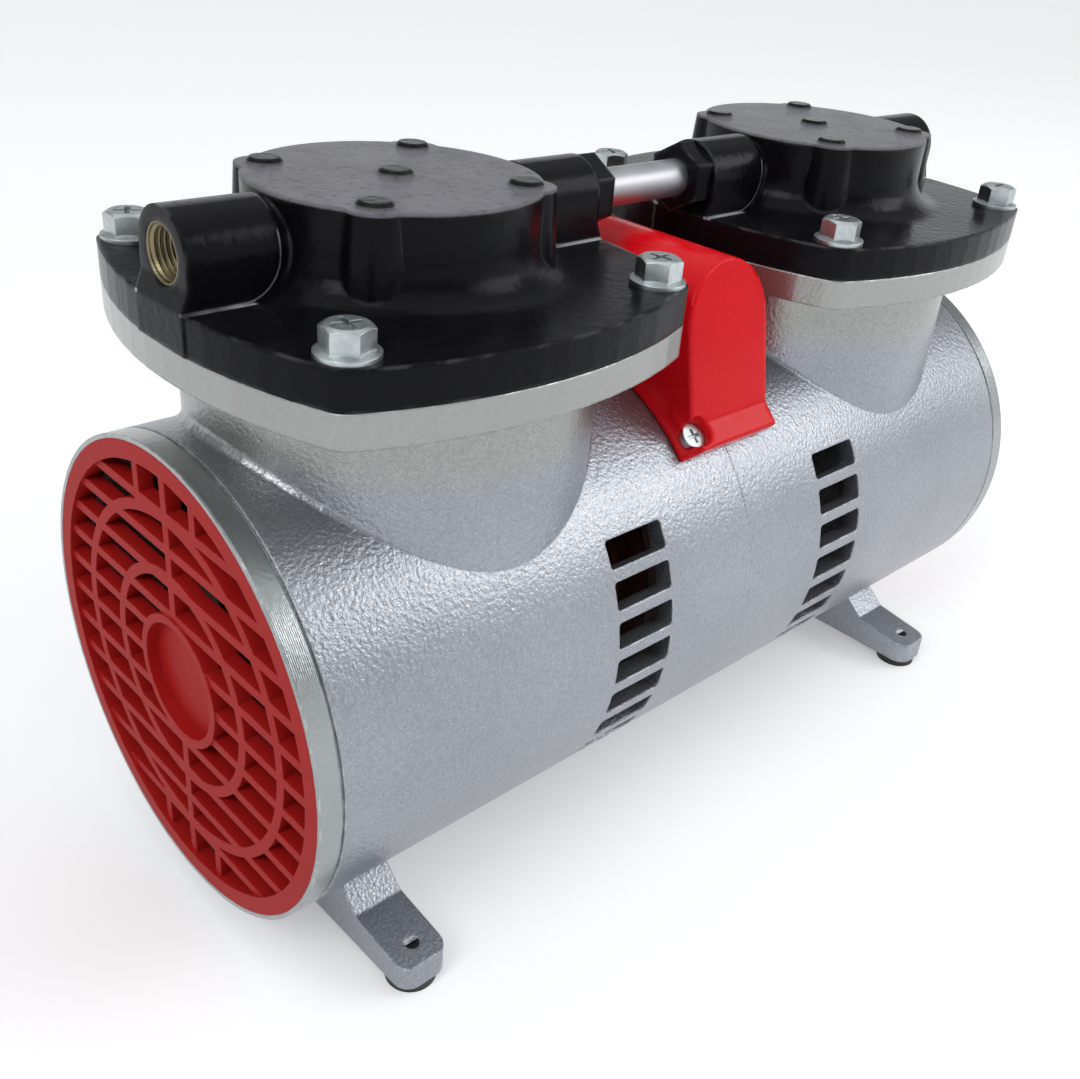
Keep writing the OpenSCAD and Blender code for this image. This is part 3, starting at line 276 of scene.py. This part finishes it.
def silver_paint(name):
    """Aluminium paint with bright flecks and painted shade in the pits of its grain, and rubbed edges with a
    painted edge highlight. The necks are a little yellow, and the flanges and end rings are smoother, the
    rings with faint lathe lines."""
    dark_paint, light_paint = (0.27, 0.285, 0.318, 1), (0.40, 0.415, 0.452, 1)
    neck_tint, ring_tint, pit_shade = (0.345, 0.35, 0.31, 1), (0.36, 0.39, 0.37, 1), (0.15, 0.16, 0.18, 1)
    fleck_tint, rubbed_and_highlit_edge = (0.72, 0.74, 0.78, 1), (0.75, 0.76, 0.78, 1)
    material, tree, shader, place = start_finish(name)
    part = split(tree, place)
    grain = use(tree, GRAIN, Place=place, Grain=900.0, Pits=0.5)
    edge = use(tree, EDGE, Place=place, Radius=0.9 * MM, Break=220.0)
    lines = use(tree, LATHE, Place=place, Centre=SHAFT_LINE, Along=1.0, Pitch=0.5 * MM)["Height"]

    flange_foot, neck_foot, ring_foot = JOINT_H - FLANGE_T, AXIS_H + BODY_R, HALF_L - 6.1 * MM
    flange = step_up(tree, part["Z"], flange_foot - 1 * MM, flange_foot + 0.5 * MM)
    neck = step_up(tree, part["Z"], neck_foot - 6 * MM, neck_foot + 4 * MM)
    ring = step_up(tree, maths(tree, "ABSOLUTE", part["X"]), ring_foot - 0.7 * MM, ring_foot)
    smooth = largest(tree, flange, ring)
    hollow_shade = opposite(tree, step_up(tree, grain["Height"], low=0.12, high=0.42))

    base = blend_colour(tree, grain["Cloud"], dark_paint, light_paint)
    base = tinted(tree, base, neck_tint, neck, strength=0.7)
    base = tinted(tree, base, ring_tint, ring, strength=0.6)
    # Painted shade: the hollows of the grain are darkened.
    base = tinted(tree, base, pit_shade, hollow_shade, strength=ramp(tree, smooth, at_0=0.2, at_1=0.08))
    base = tinted(tree, base, fleck_tint, grain["Fleck"], strength=ramp(tree, smooth, at_0=0.24, at_1=0.09))
    # Edges are lightened: partly rubbed paint, partly a painted edge highlight.
    base = tinted(tree, base, rubbed_and_highlit_edge, edge["Mask"], strength=0.7)
    rough = maths(tree, "SUBTRACT", ramp(tree, grain["Fleck"], at_0=0.32, at_1=0.20),
                  product(tree, smooth, 0.06))
    calm = largest(tree, product(tree, smooth, 0.75), product(tree, neck, 0.45))
    pores = product(tree, grain["Height"], opposite(tree, calm))
    normal = bump(tree, pores, strength=0.55, distance=0.4 * MM, normal=edge["Normal"])
    normal = bump(tree, product(tree, lines, ring), strength=0.1, distance=0.2 * MM, normal=normal)
    feed(tree, shader, {"Base Color": base, "Roughness": rough, "Metallic": 0.82, "Normal": normal})
    return material


def block_foot_highlight(tree, part):
    """Mask of a painted highlight, a thin light line on the sides of the port blocks: down the dome's wall,
    round a curve and out along the flange. It is where the distance to the curve's centre, counted only
    inward and downward, is the curve's radius."""
    wall_x, flange_top, curve_r = 39 * MM, 9.5 * MM, 10 * MM
    off_middle = apart(tree, maths(tree, "ABSOLUTE", part["X"]), HEAD_X)
    off_side = apart(tree, maths(tree, "ABSOLUTE", part["Y"]), BLOCK_R)
    inward = largest(tree, maths(tree, "SUBTRACT", wall_x + curve_r, off_middle), 0.0)
    below = largest(tree, maths(tree, "SUBTRACT", JOINT_H + flange_top + curve_r, part["Z"]), 0.0)
    off_curve = apart(tree, diagonal(tree, inward, below), curve_r)
    return product(tree, opposite(tree, step_up(tree, off_curve, 0.2 * MM, 0.6 * MM)),
                   opposite(tree, step_up(tree, off_side, 0.9 * MM, 1.3 * MM)))


def black_paint(name):
    """Gloss black on a casting with orange peel. Edges are rubbed to grey, a dull mottled film on the dome
    plate is lightened grey as painted sheen, and a thin painted highlight in a bare metal grey follows the
    foot of each port block."""
    dark_paint, light_paint = (0.003, 0.003, 0.0045, 1), (0.006, 0.006, 0.0085, 1)
    dark_sheen_film, light_sheen_film = (0.10, 0.10, 0.112, 1), (0.18, 0.178, 0.20, 1)
    dust_grey, highlight_and_bare_metal = (0.25, 0.25, 0.28, 1), (0.5, 0.5, 0.52, 1)
    material, tree, shader, place = start_finish(name)
    part = split(tree, place)
    grain = use(tree, GRAIN, Place=place, Grain=420.0, Pits=0.8)
    edge = use(tree, EDGE, Place=place, Radius=1.6 * MM, Break=120.0)
    dust = use(tree, DUST, Place=place, Scale=90.0)["Mask"]
    mottle = noise(tree, place, scale=520.0, detail=4.0, roughness=0.6)

    sheen_plate = maths(tree, "SUBTRACT", step_up(tree, part["Z"], DOME_TOP - 0.9 * MM, DOME_TOP - 0.3 * MM),
                  step_up(tree, part["Z"], DOME_TOP + 0.2 * MM, DOME_TOP + 0.8 * MM))
    # Painted highlight: a thin light line along the foot of each port block, mixed with light wear on the
    # edges.
    foot_highlight = product(tree, block_foot_highlight(tree, part), step_up(tree, grain["Cloud"], low=0.32, high=0.48))
    highlight_and_wear = largest(tree, product(tree, foot_highlight, 0.95), product(tree, edge["Mask"], 0.2))

    base = blend_colour(tree, grain["Cloud"], dark_paint, light_paint)
    # Painted sheen: the dome plate is lightened to a mottled grey, partly a real dull film and partly painted
    # sheen.
    sheen_film = blend_colour(tree, step_up(tree, mottle, low=0.32, high=0.44), dark_sheen_film, light_sheen_film)
    base = tinted(tree, base, sheen_film, sheen_plate, strength=ramp(tree, dust, at_0=1.0, at_1=0.65))
    # Upward faces get a little grey: partly dust, partly painted sheen.
    base = tinted(tree, base, dust_grey, dust, strength=0.015)
    base = blend_colour(tree, highlight_and_wear, base, highlight_and_bare_metal)
    rough = maths(tree, "ADD", ramp(tree, grain["Cloud"], at_0=0.14, at_1=0.34), product(tree, sheen_plate, 0.12))
    normal = bump(tree, grain["Height"], strength=0.2, distance=0.4 * MM, normal=edge["Normal"])
    normal = bump(tree, product(tree, mottle, sheen_plate), strength=0.35, distance=0.4 * MM, normal=normal)
    feed(tree, shader, {"Base Color": base, "Roughness": rough, "Normal": normal, "Specular IOR Level": 0.1})
    return material


def red_gloss(name):
    """Glossy moulded plastic with faint waviness and fine scuffs."""
    dark_red, light_red, dust_pink = (0.72, 0.002, 0.008, 1), (0.82, 0.005, 0.012, 1), (0.8, 0.5, 0.5, 1)
    material, tree, shader, place = start_finish(name)
    edge = use(tree, EDGE, Place=place, Radius=0.8 * MM, Break=200.0)
    dust = use(tree, DUST, Place=place, Scale=120.0)["Mask"]
    waves = noise(tree, place, scale=60.0, detail=2.0)
    scuffs = noise(tree, stretched(tree, place, (30, 4, 60)), scale=40.0, detail=6.0)
    base = tinted(tree, blend_colour(tree, waves, dark_red, light_red), dust_pink, dust, strength=0.05)
    rough = ramp(tree, step_up(tree, scuffs, low=0.5, high=0.75), at_0=0.26, at_1=0.40)
    normal = bump(tree, waves, strength=0.12, distance=1 * MM, normal=edge["Normal"])
    feed(tree, shader, {"Base Color": base, "Roughness": rough, "Normal": normal, "Specular IOR Level": 0.05,
                        "Coat Weight": 0.2, "Coat Roughness": 0.12})
    return material


def red_matt(name):
    """Satin moulded plastic with a fine spark texture."""
    dark_red, light_red, pale_edge = (0.38, 0.010, 0.009, 1), (0.47, 0.015, 0.013, 1), (0.75, 0.25, 0.22, 1)
    material, tree, shader, place = start_finish(name)
    edge = use(tree, EDGE, Place=place, Radius=0.5 * MM, Break=300.0)
    grain = use(tree, GRAIN, Place=place, Grain=1500.0, Pits=0.2)
    base = blend_colour(tree, grain["Cloud"], dark_red, light_red)
    base = tinted(tree, base, pale_edge, edge["Mask"], strength=0.2)
    normal = bump(tree, grain["Height"], strength=0.12, distance=0.2 * MM, normal=edge["Normal"])
    feed(tree, shader, {"Base Color": base, "Roughness": 0.5, "Normal": normal, "Specular IOR Level": 0.11})
    return material


def zinc_plate(name):
    """Bright plated metal with smudged roughness and fine scratches."""
    dark, light = (0.42, 0.46, 0.47, 1), (0.58, 0.62, 0.63, 1)
    material, tree, shader, place = start_finish(name)
    edge = use(tree, EDGE, Place=place, Radius=0.4 * MM, Break=300.0)
    cloud = noise(tree, place, scale=260.0, detail=5.0, roughness=0.65)
    scratch = noise(tree, stretched(tree, place, (1, 6, 1)), scale=900.0, detail=2.0)
    base = blend_colour(tree, step_up(tree, cloud, low=0.35, high=0.7), dark, light)
    normal = bump(tree, scratch, strength=0.08, distance=0.2 * MM, normal=edge["Normal"])
    feed(tree, shader, {"Base Color": base, "Roughness": ramp(tree, cloud, at_0=0.28, at_1=0.48),
                        "Metallic": 1.0, "Normal": normal})
    return material


def turned_metal(name, dark, light, rough, along=1.0, pitch=0.4 * MM, depth=0.12):
    """Metal with lathe lines: grooves one after another along the shaft, or rings about it where along
    is 0."""
    material, tree, shader, place = start_finish(name)
    edge = use(tree, EDGE, Place=place, Radius=0.3 * MM, Break=300.0)
    lines = use(tree, LATHE, Place=place, Centre=SHAFT_LINE, Along=along, Pitch=pitch)["Height"]
    cloud = noise(tree, place, scale=120.0, detail=5.0)
    normal = bump(tree, lines, strength=depth, distance=0.2 * MM, normal=edge["Normal"])
    feed(tree, shader, {"Base Color": blend_colour(tree, cloud, dark, light), "Metallic": 1.0,
                        "Roughness": ramp(tree, cloud, at_0=rough, at_1=rough + 0.15), "Normal": normal})
    return material


def weight_iron(name):
    """Dull grey casting with open grain and oily patches."""
    dark, light = (0.07, 0.07, 0.075, 1), (0.16, 0.16, 0.165, 1)
    material, tree, shader, place = start_finish(name)
    grain = use(tree, GRAIN, Place=place, Grain=500.0, Pits=0.7)
    normal = bump(tree, grain["Height"], strength=0.4, distance=0.4 * MM)
    feed(tree, shader, {"Base Color": blend_colour(tree, grain["Cloud"], dark, light), "Metallic": 0.8,
                        "Roughness": ramp(tree, grain["Cloud"], at_0=0.62, at_1=0.37), "Normal": normal})
    return material


def soft_black(name, low, high, rough, scale, sheen=0.0):
    """Moulded rubber or plastic: fine grain, bloom and a touch of dust."""
    bluer, dust_grey = 1.05, (0.3, 0.29, 0.28, 1)
    material, tree, shader, place = start_finish(name)
    grain = use(tree, GRAIN, Place=place, Grain=scale, Pits=0.3)
    dust = use(tree, DUST, Place=place, Scale=150.0)["Mask"]
    base = blend_colour(tree, grain["Cloud"], (low, low, low * bluer, 1), (high, high, high * bluer, 1))
    base = tinted(tree, base, dust_grey, dust, strength=0.12)
    normal = bump(tree, grain["Height"], strength=0.2, distance=0.3 * MM)
    feed(tree, shader, {"Base Color": base, "Normal": normal, "Sheen Weight": sheen,
                        "Roughness": ramp(tree, grain["Cloud"], at_0=rough, at_1=rough + 0.2)})
    return material


FINISHES = {slot: make(slot, **values) for slot, make, values in (
    ("silver_paint", silver_paint, {}),
    ("black_paint", black_paint, {}),
    ("red_gloss", red_gloss, {}),
    ("red_matt", red_matt, {}),
    ("zinc_plate", zinc_plate, {}),
    ("machined_steel", turned_metal, dict(dark=(0.48, 0.48, 0.50, 1), light=(0.62, 0.62, 0.64, 1),
                                          rough=0.20)),
    ("core_steel", turned_metal, dict(dark=(0.20, 0.20, 0.21, 1), light=(0.30, 0.30, 0.32, 1), rough=0.38,
                                      pitch=0.5 * MM, depth=0.6)),
    ("weight_iron", weight_iron, {}),
    ("bare_aluminium", turned_metal, dict(dark=(0.42, 0.42, 0.45, 1), light=(0.55, 0.55, 0.58, 1), rough=0.38,
                                          pitch=0.6 * MM, depth=0.10)),
    ("port_brass", turned_metal, dict(dark=(0.17, 0.145, 0.085, 1), light=(0.30, 0.255, 0.15, 1), rough=0.30,
                                      along=0.0, pitch=0.6 * MM, depth=0.15)),
    ("copper_wire", turned_metal, dict(dark=(0.07, 0.025, 0.012, 1), light=(0.16, 0.055, 0.025, 1),
                                       rough=0.30, along=0.0, pitch=0.8 * MM, depth=0.8)),
    ("black_rubber", soft_black, dict(low=0.012, high=0.022, rough=0.55, scale=700.0, sheen=0.1)),
    ("black_plastic", soft_black, dict(low=0.014, high=0.024, rough=0.38, scale=1100.0)),
)}


def dress_cad():
    """Every CAD node gets the finish of its material slot."""
    slot_of = {subpart["node"]: subpart["material_slot"] for subpart in frame["record"]["subparts"]}
    for name, piece in nodes.items():
        for slot in piece.material_slots:
            slot.material = FINISHES[slot_of[name]]


# Pieces

def shade_smooth(mesh):
    mesh.polygons.foreach_set("use_smooth", np.ones(len(mesh.polygons), bool))


def settle(piece, slot, body, *stands_for):
    """Gives a piece the finish of a slot and its body, and hides the CAD nodes it stands for."""
    piece.data.materials.clear()
    piece.data.materials.append(FINISHES[slot])
    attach(piece, body)
    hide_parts(*stands_for)


def soften_cover():
    """Moulded skin of the red cover: its merged CAD mesh is resampled on a grid of step voxel, and each
    point then moves passes times half way to the mean of its neighbours, which rounds every edge."""
    voxel, passes, half_way = 0.7 * MM, 4, 0.5
    piece = bpy.data.objects.new("terminal_cover_shell", nodes["terminal_cover"].data.copy())
    bpy.context.scene.collection.objects.link(piece)
    weld = piece.modifiers.new("weld", "WELD")
    weld.merge_threshold = 0.001 * MM
    resample = piece.modifiers.new("resample", "REMESH")
    resample.mode = "VOXEL"
    resample.voxel_size = voxel
    resample.use_smooth_shade = True
    ease = piece.modifiers.new("ease", "SMOOTH")
    ease.factor = half_way
    ease.iterations = passes
    made = bpy.data.meshes.new_from_object(piece.evaluated_get(bpy.context.evaluated_depsgraph_get()))
    piece.modifiers.clear()
    piece.data = made
    shade_smooth(made)
    settle(piece, "red_gloss", "casing", "terminal_cover")


def ring_faces(rows, columns):
    """Quads between neighbours of a grid of points stored row by row, which closes both ways."""
    r, c = np.meshgrid(np.arange(rows), np.arange(columns), indexing="ij")
    r2, c2 = (r + 1) % rows, (c + 1) % columns
    return np.stack([r * columns + c, r * columns + c2, r2 * columns + c2, r2 * columns + c],
                    -1).reshape(-1, 4)


def outward(points, faces):
    """Faces of a closed shell turned outwards: the sum of p0 . (p1 x p2) over its triangles, which is six
    times its volume, must be above zero."""
    p = (points - points.mean(0))[faces]
    volume = sum(np.einsum("ij,ij->", p[:, 0], np.cross(p[:, k], p[:, k + 1])) for k in (1, 2))
    return (faces if volume > 0 else faces[:, ::-1]).tolist()


def port_thread(end, side):
    """Internal thread of a port: radius is the crest radius plus a tooth, which is a triangle wave of
    (distance along the axis over the pitch minus turn angle over a full turn), faded over the last
    fade_length. Over the last flare_length the radius also grows by flare_slope times the distance."""
    pitch, depth, length, wall = 1.337 * MM, 0.85 * MM, 14 * MM, 1.15 * MM
    fade_length, flare_length, flare_slope = 1.5 * MM, 1.0 * MM, 0.9
    steps, sides = 127, 48
    along, turn = np.meshgrid(np.linspace(0, length, steps), np.linspace(0, 2 * math.pi, sides + 1)[:-1],
                              indexing="ij")
    phase = (along / pitch - turn / (2 * math.pi)) % 1
    tooth = np.abs(2 * phase - 1) * depth
    fade = np.clip((length - along) / fade_length, 0, 1)
    radius = PORT_R + tooth * fade + np.clip(along - length + flare_length, 0, None) * flare_slope
    outer = np.full_like(turn[:1], PORT_R + wall)
    x = side * (PORT_END - length + along)
    inside = np.stack([x, radius * np.cos(turn), PORT_H + radius * np.sin(turn)], -1)
    mouth, back = (np.stack([x[row], outer * np.cos(turn[row]), PORT_H + outer * np.sin(turn[row])], -1)
                   for row in (slice(-1, None), slice(0, 1)))
    rings = np.concatenate([inside, mouth, back])
    points = rings.reshape(-1, 3)
    mesh = bpy.data.meshes.new(end + "_port_thread")
    mesh.from_pydata(points, [], outward(points, ring_faces(*rings.shape[:2])))
    mesh.update()
    shade_smooth(mesh)
    piece = bpy.data.objects.new(end + "_port_thread", mesh)
    bpy.context.scene.collection.objects.link(piece)
    settle(piece, "port_brass", "casing", end + "_port_bush")


# Stage

def white_floor():
    """A pale floor that fades to white for the camera and keeps the shadow."""
    half, glow = 6, 0.3
    mesh = bpy.data.meshes.new("floor")
    mesh.from_pydata([(-half, -half, 0), (half, -half, 0), (half, half, 0), (-half, half, 0)], [],
                     [(0, 1, 2, 3)])
    floor = bpy.data.objects.new("floor", mesh)
    bpy.context.scene.collection.objects.link(floor)
    material, tree, shader = new_material("pale_floor")
    path = put(tree, "LightPath").outputs
    seen = largest(tree, path["Is Camera Ray"], path["Is Transmission Ray"], path["Is Glossy Ray"])
    feed(tree, shader, {"Base Color": (0.86, 0.87, 0.88, 1), "Roughness": 0.9,
                        "Emission Color": (0.98, 0.99, 1, 1), "Emission Strength": product(tree, seen, glow)})
    mesh.materials.append(material)


def studio_world():
    """Soft surround, brighter overhead. The camera sees it white, and so do reflections in the band at
    the horizon, as the backdrop of the photo is."""
    side_glow, top_glow = 0.18, 1.0
    world = bpy.data.worlds.new("studio")
    bpy.context.scene.world = world
    world.use_nodes = True
    tree = world.node_tree
    up = split(tree, put(tree, "TexCoord").outputs["Generated"])["Z"]
    surround = step_up(tree, up, low=0.4, high=0.92, at_low=side_glow, at_high=top_glow)
    path = put(tree, "LightPath").outputs
    mirrored = largest(tree, path["Is Glossy Ray"], path["Is Transmission Ray"])
    band = product(tree, mirrored, opposite(tree, step_up(tree, up, low=0.22, high=0.37)))
    feed(tree, tree.nodes["Background"], {"Color": (0.97, 0.985, 1.0, 1),
                                          "Strength": largest(tree, surround, band, path["Is Camera Ray"])})


def softbox(name, place, size, power):
    """A rectangular area lamp that points at the pump, a little above its middle."""
    aim = Vector((0, 0, 120)) * MM
    data = bpy.data.lights.new(name, "AREA")
    data.shape = "RECTANGLE"
    data.size, data.size_y = size
    data.energy = power
    lamp = bpy.data.objects.new(name, data)
    lamp.location = place
    lamp.rotation_euler = (aim - Vector(place)).to_track_quat("-Z", "Y").to_euler()
    bpy.context.scene.collection.objects.link(lamp)


aim_camera()
white_floor()
studio_world()
softbox("left_softbox", place=(-1.3, -0.3, 1.3), size=(0.7, 0.7), power=8)
softbox("right_softbox", place=(1.12, -1.05, 1.0), size=(1.1, 0.8), power=10)
dress_cad()
soften_cover()
port_thread("front", side=-1)
port_thread("rear", side=1)

bpy.context.scene.view_settings.view_transform = "Standard"
